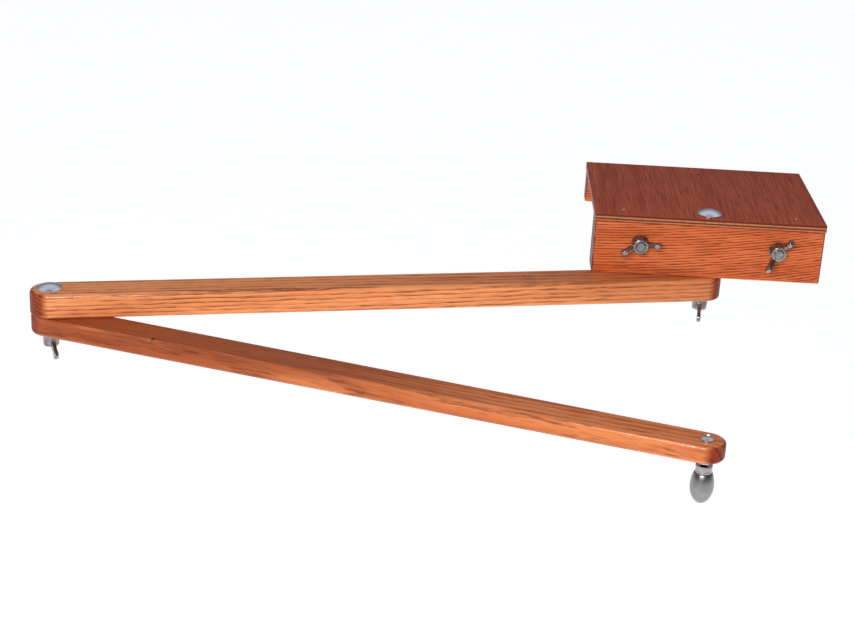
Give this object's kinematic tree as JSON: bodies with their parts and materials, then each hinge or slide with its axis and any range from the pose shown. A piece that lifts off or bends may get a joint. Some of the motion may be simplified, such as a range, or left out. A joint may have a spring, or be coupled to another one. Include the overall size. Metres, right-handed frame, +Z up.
{
  "type": "folding swing arm",
  "caption": "Folding wooden swing arm: tapered links on bolt pivots with wing nuts, a hand knob at the free end, hung from a saddle bracket that clamps on a rail.",
  "frame": {"origin": "middle of the saddle plate's underside, where it rests on the rail", "axes": "+X along the rail and the apron, towards the right end seen from the front; -Y out of the apron's front; +Z up"},
  "size_m": [0.5843, 0.3857, 0.1149],
  "materials": {
    "arm_wood": "stained open-grain ash, satin varnish",
    "bracket_wood": "stained open-grain ash, satin varnish",
    "plate_ply": "plywood with stained mahogany face veneer, satin varnish",
    "bar_wood": "stained wood, satin varnish",
    "bright_zinc": "bright zinc plate",
    "wing_zinc": "zinc-plated forging",
    "satin_aluminium": "satin turned aluminium"
  },
  "bodies": {
    "bracket": {"top_plate": "plate_ply", "front_apron": "bracket_wood", "rear_lip": "bracket_wood", "plate_brads": "bright_zinc", "swivel_bolt": "bright_zinc", "clamp_tee_nuts": "bright_zinc"},
    "clamp_bar": {"pressure_bar": "bar_wood"},
    "left_screw": {"clamp_screw_left": "bright_zinc", "clamp_wing_nut_left": "wing_zinc"},
    "right_screw": {"clamp_screw_right": "bright_zinc", "clamp_wing_nut_right": "wing_zinc"},
    "swivel_nut_seat": {"swivel_washer": "bright_zinc"},
    "swivel_nut": {"swivel_wing_nut": "wing_zinc"},
    "upper_link": {"upper_arm": "arm_wood", "elbow_bolt": "bright_zinc"},
    "elbow_nut_seat": {"elbow_washer": "bright_zinc"},
    "elbow_nut": {"elbow_wing_nut": "wing_zinc"},
    "lower_link": {"lower_arm": "arm_wood", "knob_screw": "bright_zinc", "knob_jam_nut": "bright_zinc", "knob_ferrule": "satin_aluminium", "knob_grip": "satin_aluminium"}
  },
  "joints": [
    {"name": "swivel", "type": "hinge", "parent": "bracket", "child": "upper_link", "pos_m": [0, -0.0525, -0.05], "axis": [0, 0, 1], "continuous": true},
    {"name": "elbow", "type": "hinge", "parent": "upper_link", "child": "lower_link", "pos_m": [-0.48229, -0.15942, -0.0602], "axis": [0, 0, 1], "range_deg": [-325.5, 26.5]},
    {"name": "swivel_nut_spin", "type": "hinge", "parent": "swivel_nut_seat", "child": "swivel_nut", "pos_m": [0, -0.0525, -0.065], "axis": [0, 0, -1], "range_deg": [0, 1080]},
    {"name": "swivel_nut_draw", "type": "slide", "parent": "bracket", "child": "swivel_nut_seat", "axis": [0, 0, -1], "range_m": [0, 0.00423]},
    {"name": "elbow_nut_spin", "type": "hinge", "parent": "elbow_nut_seat", "child": "elbow_nut", "pos_m": [-0.48229, -0.15942, -0.08], "axis": [0, 0, -1], "range_deg": [0, 1080]},
    {"name": "elbow_nut_draw", "type": "slide", "parent": "upper_link", "child": "elbow_nut_seat", "axis": [0, 0, -1], "range_m": [0, 0.00423]},
    {"name": "left_screw_spin", "type": "hinge", "parent": "clamp_bar", "child": "left_screw", "pos_m": [-0.05225, -0.0222, -0.0157], "axis": [0, -1, 0], "range_deg": [0, 3061]},
    {"name": "right_screw_spin", "type": "hinge", "parent": "clamp_bar", "child": "right_screw", "pos_m": [0.05225, -0.0222, -0.0157], "axis": [0, -1, 0], "range_deg": [0, 3061]},
    {"name": "bar_draw", "type": "slide", "parent": "bracket", "child": "clamp_bar", "axis": [0, -1, 0], "range_m": [0, 0.01199]}
  ],
  "couplings": [
    {"joint": "swivel_nut_draw", "follows": "swivel_nut_spin", "m_per_rad": 0.00022459},
    {"joint": "elbow_nut_draw", "follows": "elbow_nut_spin", "m_per_rad": 0.00022459},
    {"joint": "left_screw_spin", "follows": "bar_draw", "rad_per_m": 4452.7},
    {"joint": "right_screw_spin", "follows": "bar_draw", "rad_per_m": 4452.7}
  ]
}
